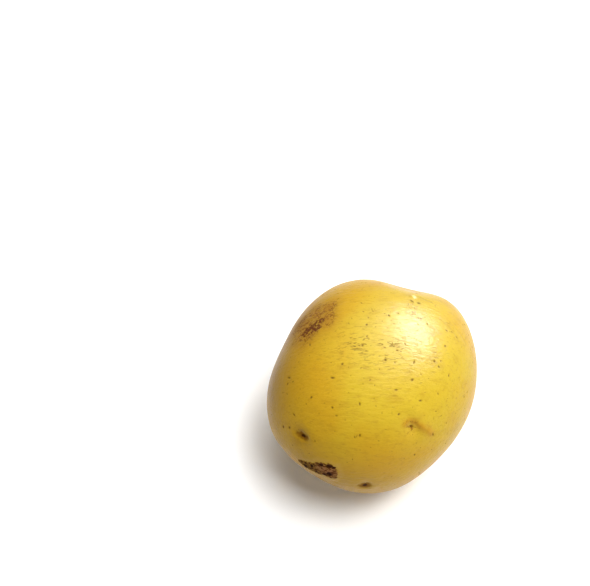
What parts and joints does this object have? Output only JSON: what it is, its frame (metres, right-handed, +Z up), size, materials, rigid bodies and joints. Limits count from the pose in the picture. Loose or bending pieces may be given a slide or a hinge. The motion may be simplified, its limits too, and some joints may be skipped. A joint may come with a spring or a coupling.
{
  "type": "potato",
  "caption": "Whole raw potato, a squat uneven oval tuber with shallow eyes, lying on a small flat spot.",
  "frame": {"origin": "middle of the tuber's footprint, on the plane of the flat spot it rests on", "axes": "+Z up from the flat spot; +X along the length, from the rose end to the stem end; +Y across"},
  "size_m": [0.085, 0.074, 0.066],
  "materials": {
    "skin": "satin"
  },
  "bodies": {
    "root": {"potato": "skin"}
  },
  "joints": []
}
